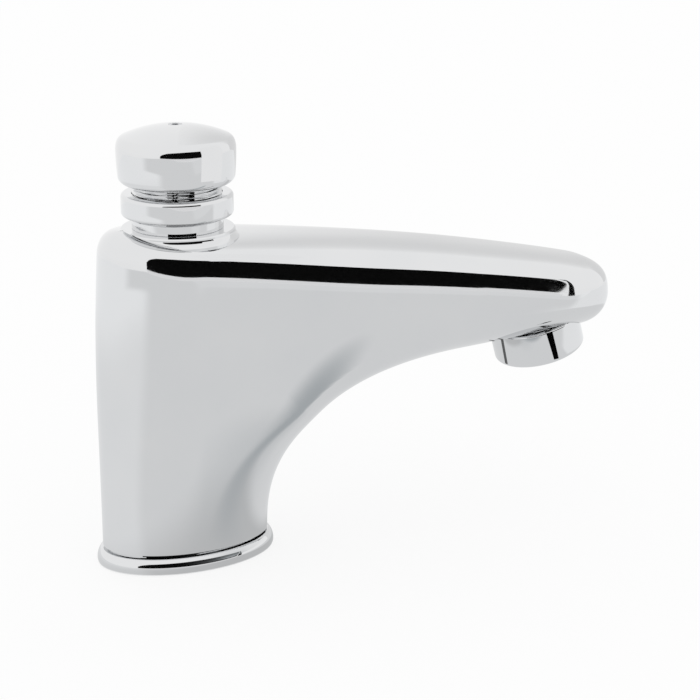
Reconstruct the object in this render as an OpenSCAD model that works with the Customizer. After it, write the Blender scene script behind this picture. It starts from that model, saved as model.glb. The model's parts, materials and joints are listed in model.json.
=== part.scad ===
// Push timed basin tap. Millimetres; the push axis is X = Y = 0, the deck is z = 0, the spout points to +X.

/* [Casting] */
// Half length of the oval foot
foot_a = 26.5; // [25.8:0.1:27.4]
// Half width of the oval foot
foot_b = 16.2; // [15.8:0.1:17]
// Height of the head's seat above the deck
seat_z = 103.8; // [101.3:0.5:107.3]
// Distance from the push axis to the tip of the spout
tip_x = 148.4; // [144:0.1:158]
// Half width of the shoulders, beside the push axis
shoulder_b = 21.2; // [19.6:0.1:22.6]
// Half width where the column has turned into the spout
throat_b = 19.55; // [18.8:0.05:20.3]
// Half width before the round nose
nose_b = 16.95; // [16.5:0.05:17.9]
// Height of the spout's underside where the sweep ends
under_h = 55.6; // [53.8:0.1:57.3]
// Fall of the spout's top line for each millimetre of length
ridge_slope = 0.0826; // [0.074:0.0002:0.094]
// Radius of the rear top corner
heel_r = 7; // [5.5:0.1:9.5]

/* [Foot] */
// Overhang of the plinth beyond the ends of the foot
plinth_end = 1.8; // [1.2:0.1:3]
// Overhang of the plinth beyond the sides of the foot
plinth_side = 2.45; // [1.5:0.05:4]
// Thickness of the foot gasket
gasket_t = 1.5; // [1:0.1:2]
// Distance between the two fixing studs
stud_spacing = 35; // [34:0.1:35.6]
// Radius of the tapping holes for the fixing studs
stud_hole_r = 3.4; // [2.5:0.05:3.6]
// Radius of the threaded inlet port
inlet_r = 4.5; // [4.4:0.05:4.8]

/* [Head] */
// Radius of the push cap at its widest
cap_r = 17.7; // [17.4:0.1:19]
// Height of the push cap from lip to crown
cap_h = 17.2; // [16.5:0.1:19]
// Stroke of the push cap
push_travel = 2.6; // [1.5:0.1:3.2]
// Radius of the boss that carries the head
boss_r = 17.05; // [16.6:0.05:17.6]
// Radius of the neck under the lock ring
neck_r = 13.6; // [13.5:0.05:13.8]
// Height of the neck under the lock ring
neck_h = 3.8; // [2.8:0.1:5.8]
// Radius of the lock ring
ring_r = 16.65; // [16:0.05:17]
// Height of the lock ring
ring_h = 6.7; // [5:0.1:9]
// Pitch of the fine thread
thread_pitch = 1; // [0.8:0.1:1.5]

/* [Cartridge] */
// Radius of the stem
stem_r = 3; // [2.8:0.05:3.1]
// Radius of the timing bore
timing_r = 9; // [8.9:0.05:9.2]
// Radial gap of the running fits
run_gap = 0.05; // [0.03:0.01:0.08]
// Radius of the valve seat's opening
seat_bore_r = 5; // [4.5:0.1:5.5]
// Turns of the return spring
spring_turns = 5; // [4:1:7]
// Radius of the spring wire
spring_wire = 0.6; // [0.4:0.05:0.7]

/* [Outlet] */
// Radius of the aerator collar
collar_r = 14.85; // [14.5:0.05:15.2]
// Length of the aerator collar
collar_l = 11.4; // [9.5:0.1:13]
// Radius of the aerator's thread
spigot_r = 12; // [11.9:0.05:12.1]
// Forward tilt of the outlet
outlet_tilt = 15.3; // [11:0.1:17]
// Radius of the waterway in the spout
water_r = 8; // [6:0.1:8.4]

/* [Hidden] */
$fn = 96;
eps = 0.05;
fit_gap = 0.1;

// Outline of the casting
foot_z = 5;
ridge_z = seat_z - 1.1;
ridge_drop = 0.00055;
ridge_bend = -1.3;
throat_x = 0.621 * tip_x;
under_slope = 0.043;
nose_x = tip_x - 12.25;
nose_side_x = tip_x - 23.45;
nose_tip_z = under_h + 15;
nose_power = 2.51;
nose_side_power = 2.28;
boss_round = 4.55;
boss_round_x = -30;
spout_round = 9.15;
spout_round_x = 63;
crown_power = 2.8;
lean_curve = 0.0292;
lean_l = 6.45;
belly_round = 10.6;
belly_power = 2.1;
belly_barrel = 0.06;
rear_bow = 0.00075;
rear_bow_z = 45;
sweep_lean = 0.6;
sweep_lift = 35;
sweep_run = 44.7;

// Rail along the rear wall, the top corner and the top line
ridge_angle = atan(ridge_slope);
heel_x = heel_r - foot_a;
heel_z = ridge_z - ridge_slope * heel_x - heel_r / cos(ridge_angle);
crest_x = heel_x + heel_r * sin(ridge_angle);
wall_l = heel_z - foot_z;
bend_l = heel_r * (90 + ridge_angle) * PI / 180;
crest_l = (throat_x - crest_x) / cos(ridge_angle);
rail_l = wall_l + bend_l + crest_l;
wall_end = wall_l / rail_l;
bend_end = (wall_l + bend_l) / rail_l;

// Steps of the casting's surface
half_n = 22;
wall_n = 8;
bend_n = 6;
crest_n = 14;
spout_n = 4;
nose_n = 15;
ring_points = 2 * half_n;

// Foot
pocket_a = foot_a - 4;
pocket_b = foot_b - 4;
pillar_r = 5.5;
inlet_pillar_r = 7.5;
inlet_l = 13;
stud_l = 18;
plinth_a = foot_a + plinth_end;
plinth_b = foot_b + plinth_side;
plinth_z = 0.3;
plinth_h = foot_z - plinth_z;
gasket_a = pocket_a + 2.4;
gasket_b = pocket_b + 2.4;
oval_n = 96;
low_edge_r = 0.3;
low_turn = 12;
top_edge_r = 1;
top_turn = 36;
side_curve_h = plinth_h - low_edge_r * (1 - sin(low_turn)) - top_edge_r * (1 - sin(top_turn));
side_curve_r = side_curve_h / (sin(low_turn) + sin(top_turn));
side_mid = low_edge_r * (1 - sin(low_turn)) + side_curve_r * sin(low_turn);
edge_n = 4;

// Boss
boss_l = 22;
boss_edge = 0.4;
spot_h = 10;

// Head heights
stop_gap = 0.3;
neck_top = seat_z + neck_h;
ring_top = neck_top + ring_h;
lip_z = ring_top + push_travel + stop_gap;
sleeve_top = lip_z + 2.4;
cap_ceiling = lip_z + 8.8;
stem_top = lip_z + 10.2;
crown_z = lip_z + cap_h;

// Head radii
thread_r = neck_r - 0.2;
thread_depth = 0.5;
cap_bore = thread_r + 0.35;
hub_r = 6.5;
screw_r = 2;
socket_r = 1.15;
sleeve_bore = 10;
shank_r = 12;
shank_l = 17.8;
counterbore_r = shank_r + 1.2;
counterbore_l = 1.3;
lip_round = 2.55;
lip_inset = 2.9;
bulge_z = 9.8;
bulge = 0.0066;
bevel_z = cap_h - 7.06;
bevel_round = 6.6;
bevel_end = 20;
shoulder_round = 2.65;
shoulder_end = 67.4;
shoulder_r = cap_r - bevel_round + (bevel_round - shoulder_round) * cos(bevel_end);
shoulder_z = bevel_z + (bevel_round - shoulder_round) * sin(bevel_end);
dome_r = 40;
dome_edge = shoulder_r + shoulder_round * cos(shoulder_end);
ring_round = 1.1;

// Cartridge heights
liner_top = seat_z - shank_l;
liner_l = 36;
liner_z = liner_top - liner_l;
port_z = liner_z + 6.6;
divider_z = liner_z + 10.6;
timing_floor = divider_z + 3;
piston_z = liner_top - 10;
piston_h = 4;
chamber_z = liner_z - 16;
floor_t = 3;
pocket_z = chamber_z - floor_t;
guide_z = liner_top + 2.1;
guide_l = 5.2;
guide_pocket = 10.8;
web_t = 2;
washer_top = liner_z - 0.7;
washer_t = 2.4;
cup_t = 1.5;
nut_t = 2.9;
stem_end = washer_top - washer_t - cup_t - nut_t - 1;

// Cartridge radii
liner_r = timing_r + 2.4;
liner_bore = liner_r + fit_gap;
chamber_r = liner_r - 1.4;
cage_r = 7;
channel_r = liner_r - 2;
channel_l = 5.4;
guide_r = 6.45;
rod_seal_w = (guide_r - stem_r - run_gap) / 2;
seal_wire = 0.82;
piston_r = timing_r - 0.08;
bleed_x = timing_r - 2.1;
bleed_r = 0.9;
pin_r = 0.5;
spring_r = (stem_r + timing_r) / 2 - 0.8;
washer_r = seat_bore_r + 2.2;
seat_ring_r = liner_r - 2.95;
seat_ring_t = 2.45;
clip_slot = 2.8;
tail_r = 2;

// Outlet
outlet_x = tip_x - 25.67;
outlet_z = under_h + 4.9;
spigot_l = 6;
outlet_bore = spigot_r - 3;
outlet_boss_r = spigot_r + 1;
aerator_r = spigot_r - 0.9;
aerator_lip = 1.5;
screen_t = 0.6;
screen_z = -2.65;
seal_t = 1.4;
mesh_pitch = 3;
mesh_rings = 3;
water_lift = 5.4;
water_z = port_z + water_lift;
water_rise = 3.4;
water_l = outlet_x - 2;

function clamp(v, lo, hi) = min(hi, max(lo, v));
function ease(v) = let (s = clamp(v, 0, 1)) s * s * (3 - 2 * s);
function mix(a, b, s) = a + (b - a) * s;

// Heights of the top line and of the spout's underside
function ridge(x) = ridge_z - ridge_slope * x - ridge_drop * pow(max(0, x - ridge_bend), 2);
function under(x) = under_h + under_slope * (x - throat_x);

// Forward bow of the upper rear wall
function bowed(p) =
    [p[0] + rear_bow * pow(max(0, p[1] - rear_bow_z), 2) * clamp((20 - p[0]) / 45, 0, 1), p[1]];

// Point of the outer rail at a share t of its length
function rail(t) =
    let (s = t * rail_l)
    let (a = 180 - (s - wall_l) / heel_r * 180 / PI)
    let (x = mix(crest_x, throat_x, (s - wall_l - bend_l) / crest_l))
    bowed(s <= wall_l ? [-foot_a, foot_z + s]
        : s <= wall_l + bend_l ? [heel_x + heel_r * cos(a), heel_z + heel_r * sin(a)]
        : [x, ridge(x)]);

// Rear end of the casting at a height z
function rear(z) =
    let (d = clamp(z - heel_z, 0, heel_r))
    bowed([heel_x - sqrt(heel_r * heel_r - d * d), z])[0];

// Point of the inner rail, the sweep from the front of the foot to the underside of the spout
function sweep(t) =
    let (a = [foot_a, foot_z])
    let (b = [foot_a - sweep_lean, foot_z + sweep_lift])
    let (c = [throat_x - sweep_run, under_h - under_slope * sweep_run])
    let (d = [throat_x, under_h])
    pow(1 - t, 3) * a + 3 * pow(1 - t, 2) * t * b + 3 * (1 - t) * t * t * c + t * t * t * d;

// Rise from 0 to 1 over a rounded edge, v from 0 at the edge to 1 where the flat begins
function rounded(v, power) = pow(1 - pow(1 - clamp(v, 0, 1), power), 1 / power);

// Half width below the top line: a rounded crown, then a side that leans in a little above
function crown_round(x) =
    mix(boss_round, spout_round, ease((x - boss_round_x) / (spout_round_x - boss_round_x)));
function crown(w, x, depth) =
    let (r = crown_round(x))
    (w - lean_curve / 2 * pow(max(0, r + lean_l - depth), 2)) * rounded(depth / r, crown_power);

// Narrowing towards the inner rail, h from 0 at the inner rail to 1 at the outer one
function belly(h, l, round, power, barrel) =
    rounded(h * l / round, power) * (1 - barrel * pow(max(0, 1 - 2 * h), 2));

// Share of a section's length at its point k, closer together at both ends
function share(k) = (1 + cos(180 * k / half_n)) / 2;

// Closed ring from an outer point o to an inner point i, with half widths ys
function ring(o, i, ys) = [for (k = [0:ring_points - 1])
    let (m = k <= half_n ? k : ring_points - k)
    let (p = i + (o - i) * share(m))
    let (y = m == 0 || m == half_n ? 0 : max(0.01, ys[m]))
    [p[0], k <= half_n ? -y : y, p[1]]];

function column_width(t) =
    t < 0.45 ? mix(foot_b, shoulder_b, ease(t / 0.45)) : mix(shoulder_b, throat_b, (t - 0.45) / 0.55);
function column_y(t, p, h, l) =
    let (end = p[0] < 0 ? sqrt(max(0, 1 - pow(clamp(p[0] / rear(p[1]), 0, 1), 2))) : 1)
    let (round = min(mix(foot_a, belly_round, ease(t / 0.5)), l / 2))
    crown(column_width(t), p[0], max(0, ridge(p[0]) - p[1])) * end
        * belly(h, l, round, mix(2, belly_power, ease(t / 0.4)), belly_barrel * ease(t / 0.4));
function column_ring(t) =
    let (o = rail(t))
    let (i = sweep(t))
    ring(o, i, [for (k = [0:half_n]) column_y(t, i + (o - i) * share(k), share(k), norm(o - i))]);

function nose(x, from, power) = pow(1 - pow(clamp((x - from) / (tip_x - from), 0, 1), power), 1 / power);
function nose_axis(x) =
    mix((ridge(nose_x) + under(nose_x)) / 2, nose_tip_z, clamp((x - nose_x) / (tip_x - nose_x), 0, 1));
function spout_width(x) = mix(throat_b, nose_b, clamp((x - throat_x) / (nose_x - throat_x), 0, 1));
function spout_ring(x) =
    let (g = nose(x, nose_x, nose_power))
    let (w = spout_width(x))
    let (side = nose(x, nose_side_x, nose_side_power))
    let (o = [x, mix(nose_axis(x), ridge(x), g)])
    let (i = [x, mix(nose_axis(x), under(x), g)])
    let (l = norm(o - i) / g)
    ring(o, i, [for (k = [0:half_n])
        crown(w, x, (1 - share(k)) * l) * side * belly(share(k), l, belly_round, belly_power, belly_barrel)]);

column_steps = concat([for (k = [0:wall_n - 1]) wall_end * k / wall_n],
    [for (k = [0:bend_n - 1]) mix(wall_end, bend_end, k / bend_n)],
    [for (k = [0:crest_n]) mix(bend_end, 1, k / crest_n)]);
spout_steps = concat([for (k = [1:spout_n]) mix(throat_x, nose_side_x, k / spout_n)],
    [for (k = [1:nose_n - 1]) mix(nose_side_x, tip_x, sin(90 * k / nose_n))]);

// Faces of a skin over rows of n points: a flat first row and a closing point or a flat last row
function skin_sides(rows, n) = [for (j = [0:rows - 2]) for (k = [0:n - 1]) let (m = (k + 1) % n) each
    [[j * n + k, (j + 1) * n + k, (j + 1) * n + m], [j * n + k, (j + 1) * n + m, j * n + m]]];
function skin_start(n) = [[for (k = [0:n - 1]) k]];
function skin_end(rows, n) = [[for (k = [n - 1:-1:0]) (rows - 1) * n + k]];
function skin_tip(rows, n) =
    [for (k = [0:n - 1]) [(rows - 1) * n + k, rows * n, (rows - 1) * n + (k + 1) % n]];

function oval(a, b) = [for (k = [0:oval_n - 1]) [a * cos(360 * k / oval_n), b * sin(360 * k / oval_n)]];

module casting() {
    rings = concat([for (t = column_steps) column_ring(t)], [for (x = spout_steps) spout_ring(x)]);
    rows = len(rings);
    points = concat([for (r = rings) each r], [[tip_x, 0, nose_tip_z]]);
    polyhedron(points, concat(skin_start(ring_points), skin_sides(rows, ring_points),
        skin_tip(rows, ring_points)), convexity = 6);
}

module at_outlet() {
    translate([outlet_x, 0, outlet_z]) rotate([0, -outlet_tilt, 0]) children();
}

module at_studs() {
    for (s = [-1, 1]) translate([s * stud_spacing / 2, 0, 0]) children();
}

module tube(r_out, r_in, h) {
    difference() {
        cylinder(r = r_out, h = h);
        translate([0, 0, -eps]) cylinder(r = r_in, h = h + 2 * eps);
    }
}

module ring_seal(major, minor) {
    rotate_extrude() translate([major, 0]) circle(r = minor, $fn = 32);
}

module foot_pocket() {
    difference() {
        translate([0, 0, foot_z - 1]) linear_extrude(pocket_z - foot_z + 1) polygon(oval(pocket_a, pocket_b));
        at_studs() cylinder(r = pillar_r, h = pocket_z + 1);
        cylinder(r = inlet_pillar_r, h = pocket_z + 1);
    }
}

module body() {
    color([0.82, 0.84, 0.86]) difference() {
        union() {
            casting();
            translate([0, 0, seat_z - boss_l]) cylinder(r = boss_r, h = boss_l - boss_edge);
            translate([0, 0, seat_z - boss_edge])
                cylinder(r1 = boss_r, r2 = boss_r - boss_edge, h = boss_edge);
            at_outlet() cylinder(r = outlet_boss_r, h = 4);
        }
        translate([0, 0, seat_z]) cylinder(r = boss_r, h = spot_h);
        translate([0, 0, seat_z - counterbore_l]) cylinder(r = counterbore_r, h = counterbore_l + 1);
        translate([0, 0, liner_top]) cylinder(r = shank_r + eps, h = shank_l);
        translate([0, 0, liner_z]) cylinder(r = liner_bore, h = liner_l + eps);
        translate([0, 0, chamber_z]) cylinder(r = chamber_r, h = liner_z - chamber_z + eps);
        translate([0, 0, foot_z - 1]) cylinder(r = inlet_r, h = inlet_l + 1);
        translate([0, 0, foot_z]) cylinder(r = inlet_r - 0.2, h = inlet_l + 1);
        translate([0, 0, foot_z]) cylinder(r = inlet_r - 0.6, h = chamber_z - foot_z + eps);
        foot_pocket();
        at_studs() translate([0, 0, foot_z - 1]) cylinder(r = stud_hole_r, h = stud_l + 1);
        translate([0, 0, water_z]) rotate([0, 90 - water_rise, 0]) cylinder(r = water_r, h = water_l);
        at_outlet() translate([0, 0, -8]) cylinder(r = collar_r + 0.3, h = 8);
        at_outlet() translate([0, 0, -eps]) cylinder(r = spigot_r + eps, h = spigot_l + seal_t + 5 * eps);
        at_outlet() cylinder(r = outlet_bore, h = 14);
    }
}

// Side profile of the plinth, as offsets from its outline: a low bulge between two rounded edges
function edge_arc(r, from, to) =
    let (turn = abs(from) < 90 ? from : to)
    let (c = [(side_curve_r - r) * cos(turn) - side_curve_r, side_mid + (side_curve_r - r) * sin(turn)])
    [for (k = [0:edge_n]) let (q = mix(from, to, k / edge_n)) c + r * [cos(q), sin(q)]];
function side_profile() = concat(edge_arc(low_edge_r, -90, -low_turn),
    [for (k = [1:edge_n - 1]) let (q = mix(-low_turn, top_turn, k / edge_n))
        [side_curve_r * (cos(q) - 1), side_mid + side_curve_r * sin(q)]],
    edge_arc(top_edge_r, top_turn, 90));

module nosing() {
    rings = [for (s = side_profile())
        [for (p = oval(plinth_a + s[0], plinth_b + s[0])) [p[0], p[1], plinth_z + s[1]]]];
    rows = len(rings);
    polyhedron([for (r = rings) each r],
        concat(skin_start(oval_n), skin_sides(rows, oval_n), skin_end(rows, oval_n)), convexity = 4);
}

module base_plinth() {
    color([0.8, 0.82, 0.84]) difference() {
        nosing();
        linear_extrude(foot_z + 1) polygon(oval(pocket_a, pocket_b));
        linear_extrude(gasket_t) polygon(oval(gasket_a + fit_gap, gasket_b + fit_gap));
    }
}

module base_gasket() {
    color([0.12, 0.12, 0.13]) difference() {
        linear_extrude(gasket_t) polygon(oval(gasket_a, gasket_b));
        translate([0, 0, -1]) linear_extrude(gasket_t + 2) polygon(oval(pocket_a, pocket_b));
    }
}

// Half profile of the push cap, from the lip's bore to the crown
function cap_profile() = concat([[0, 0]],
    [for (k = [0:8]) let (q = mix(-90, -8, k / 8))
        [cap_r - lip_inset + lip_round * cos(q), lip_round + lip_round * sin(q)]],
    [for (k = [1:6]) let (z = mix(lip_round * (1 + sin(-8)), bevel_z, k / 6))
        [cap_r - bulge * pow(z - bulge_z, 2), z]],
    [for (k = [1:4]) let (q = bevel_end * k / 4)
        [cap_r - bevel_round + bevel_round * cos(q), bevel_z + bevel_round * sin(q)]],
    [for (k = [1:7]) let (q = mix(bevel_end, shoulder_end, k / 7))
        [shoulder_r + shoulder_round * cos(q), shoulder_z + shoulder_round * sin(q)]],
    [for (k = [1:8]) let (r = dome_edge * (1 - k / 8)) [r, cap_h - dome_r + sqrt(dome_r * dome_r - r * r)]]);

module push_cap() {
    color([0.83, 0.85, 0.87]) translate([0, 0, lip_z]) difference() {
        rotate_extrude() polygon(cap_profile());
        difference() {
            translate([0, 0, -1]) cylinder(r = cap_bore, h = cap_ceiling - lip_z + 1);
            translate([0, 0, 0.3]) cylinder(r = hub_r, h = cap_ceiling - lip_z);
        }
        cylinder(r = stem_r + eps, h = stem_top - lip_z + 0.1);
        cylinder(r = screw_r + eps, h = cap_h + 1);
    }
}

module cap_grub_screw() {
    color([0.5, 0.51, 0.53]) difference() {
        translate([0, 0, stem_top + 0.1]) cylinder(r = screw_r, h = crown_z - stem_top - 0.18);
        translate([0, 0, crown_z - 0.9]) cylinder(r = socket_r, h = 3, $fn = 6);
    }
}

// Half profile of a threaded band from height 0 to l
function thread_profile(l) =
    let (n = floor(l / thread_pitch))
    let (p = l / n)
    concat([[thread_r - 3, 0]],
        [for (k = [0:n - 1]) each [[thread_r - thread_depth, k * p], [thread_r, (k + 0.5) * p]]],
        [[thread_r - thread_depth, l], [thread_r - 3, l]]);

module head_sleeve() {
    color([0.78, 0.8, 0.82]) difference() {
        union() {
            translate([0, 0, liner_top]) cylinder(r = shank_r, h = shank_l);
            translate([0, 0, seat_z]) cylinder(r = neck_r, h = neck_h - 0.8);
            translate([0, 0, neck_top - 0.8 - eps]) cylinder(r = neck_r - 0.6, h = 0.8 + 2 * eps);
            translate([0, 0, neck_top]) rotate_extrude() polygon(thread_profile(sleeve_top - neck_top));
            translate([0, 0, neck_top - 1]) cylinder(r = thread_r - 2, h = sleeve_top - neck_top + 1);
        }
        translate([0, 0, liner_top - eps]) cylinder(r = guide_r + eps, h = guide_pocket + eps);
        translate([0, 0, liner_top + 0.8]) cylinder(r = guide_r + 0.9, h = 1.2);
        translate([0, 0, liner_top]) cylinder(r = stem_r + 0.4, h = guide_pocket + web_t + eps);
        translate([0, 0, liner_top + guide_pocket + web_t]) cylinder(r = sleeve_bore, h = sleeve_top);
    }
}

module lock_ring() {
    color([0.8, 0.82, 0.84]) translate([0, 0, neck_top]) rotate_extrude()
        polygon(concat([[thread_r + eps, 0]],
            [for (k = [0:5]) let (q = mix(-90, 0, k / 5))
                [ring_r - ring_round + ring_round * cos(q), ring_round + ring_round * sin(q)]],
            [for (k = [0:5]) let (q = mix(0, 90, k / 5))
                [ring_r - ring_round + ring_round * cos(q), ring_h - ring_round + ring_round * sin(q)]],
            [[thread_r + eps, ring_h]]));
}

module sleeve_oring() {
    color([0.1, 0.1, 0.11]) translate([0, 0, seat_z - counterbore_l / 2])
        ring_seal((shank_r + counterbore_r) / 2 + 0.02, 0.56);
}

module stem() {
    color([0.76, 0.77, 0.78]) union() {
        translate([0, 0, stem_end]) cylinder(r = tail_r, h = washer_top - stem_end + eps);
        translate([0, 0, washer_top]) difference() {
            cylinder(r = stem_r, h = stem_top - washer_top);
            translate([0, 0, piston_z - 1.1 - washer_top]) tube(stem_r + 1, stem_r - 0.4, 1);
        }
        translate([0, 0, piston_z + piston_h]) cylinder(r = stem_r + 1.2, h = 2);
    }
}

module stem_bush() {
    color([0.9, 0.9, 0.86]) translate([0, 0, guide_z]) tube(guide_r, stem_r + run_gap, guide_l);
}

module bush_clip() {
    color([0.7, 0.7, 0.72]) translate([0, 0, liner_top + 0.9]) difference() {
        tube(guide_r + 0.8, stem_r + 1.4, 1);
        translate([0, -1.2, -1]) cube([guide_r + 2, 2.4, 3]);
    }
}

module stem_oring() {
    color([0.1, 0.1, 0.11]) translate([0, 0, guide_z + guide_l + rod_seal_w])
        ring_seal(stem_r + run_gap + rod_seal_w, rod_seal_w);
}

module timing_cylinder() {
    color([0.88, 0.88, 0.85]) difference() {
        translate([0, 0, liner_z]) cylinder(r = liner_r, h = liner_l);
        translate([0, 0, timing_floor]) cylinder(r = timing_r, h = liner_l);
        translate([0, 0, liner_z]) cylinder(r = stem_r + run_gap, h = liner_l);
        translate([0, 0, liner_z + 2]) cylinder(r = cage_r, h = divider_z - liner_z - 2);
        translate([0, 0, liner_z - eps]) cylinder(r = seat_ring_r + eps, h = seat_ring_t + 2 * eps);
        translate([0, 0, port_z - channel_l / 2]) tube(liner_r + 1, channel_r, channel_l);
        for (a = [0, 90]) rotate([0, 0, a]) translate([-liner_r - 1, 0, port_z])
            rotate([0, 90, 0]) cylinder(r = 2.4, h = 2 * liner_r + 2);
        for (z = [liner_z + 0.9, liner_top - 8]) translate([0, 0, z])
            tube(liner_r + 1, liner_bore - 2 * seal_wire - 0.04, 2 * seal_wire + 0.2);
        translate([bleed_x, 0, divider_z + 1.6]) cylinder(r = pin_r + 0.03, h = 3);
    }
}

module cylinder_orings() {
    color([0.1, 0.1, 0.11]) for (z = [liner_z + 1, liner_top - 7.9])
        translate([0, 0, z + seal_wire]) ring_seal(liner_bore - seal_wire - 0.02, seal_wire);
}

module metering_pin() {
    color([0.72, 0.72, 0.74]) translate([bleed_x, 0, divider_z + 1.6])
        cylinder(r = pin_r, h = piston_z + piston_h - divider_z - 2.1, $fn = 32);
}

module piston() {
    color([0.85, 0.85, 0.82]) translate([0, 0, piston_z]) difference() {
        cylinder(r = piston_r, h = piston_h);
        translate([0, 0, -1]) cylinder(r = stem_r + 0.02, h = piston_h + 2);
        translate([0, 0, 1]) tube(piston_r + 1, timing_r - 0.9, 2);
        translate([bleed_x, 0, -1]) cylinder(r = bleed_r, h = piston_h + 2);
    }
}

module piston_seal() {
    color([0.1, 0.1, 0.11]) translate([0, 0, piston_z + 1.05]) tube(timing_r - run_gap, timing_r - 0.88, 1.9);
}

module piston_clip() {
    color([0.7, 0.7, 0.72]) translate([0, 0, piston_z - 1.05]) difference() {
        tube(stem_r + 1, stem_r - 0.36, 0.9);
        translate([0, -clip_slot / 2, -1]) cube([stem_r + 2, clip_slot, 3]);
    }
}

// Coil of the return spring: wire rings along a helix, closed by flat ends
module return_spring() {
    ring_n = 8;
    turn_n = 16;
    rows = spring_turns * turn_n + 1;
    low = timing_floor + spring_wire + eps;
    high = piston_z - spring_wire - eps;
    points = [for (j = [0:rows - 1]) let (q = 360 * j / turn_n) let (z = mix(low, high, j / (rows - 1)))
        for (k = [0:ring_n - 1]) let (w = -360 * k / ring_n)
            [(spring_r + spring_wire * cos(w)) * cos(q), (spring_r + spring_wire * cos(w)) * sin(q),
                z + spring_wire * sin(w)]];
    color([0.66, 0.67, 0.7]) polyhedron(points,
        concat(skin_start(ring_n), skin_sides(rows, ring_n), skin_end(rows, ring_n)), convexity = 8);
}

module valve_seat() {
    color([0.8, 0.68, 0.4]) translate([0, 0, liner_z]) difference() {
        union() {
            cylinder(r = seat_ring_r, h = seat_ring_t);
            translate([0, 0, -0.6]) cylinder(r1 = seat_bore_r + 0.8, r2 = seat_bore_r + 1.4, h = 0.7);
        }
        translate([0, 0, -1]) cylinder(r = seat_bore_r, h = seat_ring_t + 2);
    }
}

module valve_cup() {
    color([0.8, 0.68, 0.4]) translate([0, 0, washer_top - washer_t - cup_t]) difference() {
        cylinder(r = washer_r + 0.6, h = cup_t + 1.6);
        translate([0, 0, cup_t]) cylinder(r = washer_r + eps, h = 3);
        translate([0, 0, -1]) cylinder(r = tail_r + eps, h = 5);
    }
}

module valve_washer() {
    color([0.13, 0.13, 0.14]) translate([0, 0, washer_top - washer_t]) tube(washer_r, tail_r + eps, washer_t);
}

module valve_nut() {
    color([0.8, 0.68, 0.4]) translate([0, 0, washer_top - washer_t - cup_t - nut_t]) difference() {
        cylinder(r = 4, h = nut_t, $fn = 6);
        translate([0, 0, -1]) cylinder(r = tail_r + eps, h = nut_t + 2);
    }
}

module inlet_strainer() {
    color([0.75, 0.76, 0.78]) translate([0, 0, foot_z + inlet_l + 0.1]) difference() {
        union() {
            cylinder(r = inlet_r - 0.25, h = 0.8);
            cylinder(r = inlet_r - 0.9, h = 8.5);
        }
        translate([0, 0, -1]) cylinder(r = inlet_r - 1.5, h = 8.9);
        for (z = [2.2, 4, 5.8]) for (a = [0:60:300]) rotate([0, 0, a]) translate([2, 0, z])
            rotate([0, 90, 0]) cylinder(r = 0.6, h = 4, $fn = 24);
    }
}

// Round holes in rings about the outlet's axis
module mesh(r, h) {
    for (j = [0:mesh_rings]) for (k = [0:max(0, 6 * j - 1)])
        rotate([0, 0, j == 0 ? 0 : 60 * k / j]) translate([j * mesh_pitch, 0, 0])
            cylinder(r = r, h = h, $fn = 24);
}

module aerator_housing() {
    color([0.82, 0.84, 0.86]) at_outlet() difference() {
        union() {
            rotate_extrude() polygon(concat([[0, -collar_l]],
                [for (k = [0:5]) let (q = mix(-90, 0, k / 5))
                    [collar_r - 1.4 + 1.4 * cos(q), 1.4 - collar_l + 1.4 * sin(q)]],
                [[collar_r, -0.7], [collar_r - 0.7, 0], [0, 0]]));
            cylinder(r = spigot_r, h = spigot_l);
        }
        translate([0, 0, -collar_l - 1]) cylinder(r = aerator_r - 1, h = collar_l + spigot_l + 2);
        translate([0, 0, aerator_lip - collar_l])
            cylinder(r = aerator_r + eps, h = collar_l - aerator_lip + screen_z + screen_t + 3 * eps);
    }
}

module aerator_seal() {
    color([0.1, 0.1, 0.11]) at_outlet() translate([0, 0, spigot_l + eps])
        tube(spigot_r - 0.1, outlet_bore + 0.4, seal_t);
}

module aerator_insert() {
    color([0.9, 0.9, 0.88]) at_outlet() translate([0, 0, aerator_lip - collar_l]) difference() {
        cylinder(r = aerator_r, h = collar_l - aerator_lip + screen_z - eps);
        translate([0, 0, -1]) mesh(1.05, collar_l);
    }
}

module aerator_screen() {
    color([0.7, 0.71, 0.73]) at_outlet() translate([0, 0, screen_z]) difference() {
        cylinder(r = aerator_r, h = screen_t);
        translate([0, 0, -1]) mesh(0.8, 3);
    }
}

body();
base_plinth();
base_gasket();
push_cap();
cap_grub_screw();
head_sleeve();
lock_ring();
sleeve_oring();
stem();
stem_bush();
bush_clip();
stem_oring();
timing_cylinder();
cylinder_orings();
metering_pin();
piston();
piston_seal();
piston_clip();
return_spring();
valve_seat();
valve_cup();
valve_washer();
valve_nut();
inlet_strainer();
aerator_housing();
aerator_seal();
aerator_insert();
aerator_screen();
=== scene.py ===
import json
import math

import bmesh
import bpy
from mathutils import Matrix, Vector


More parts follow.
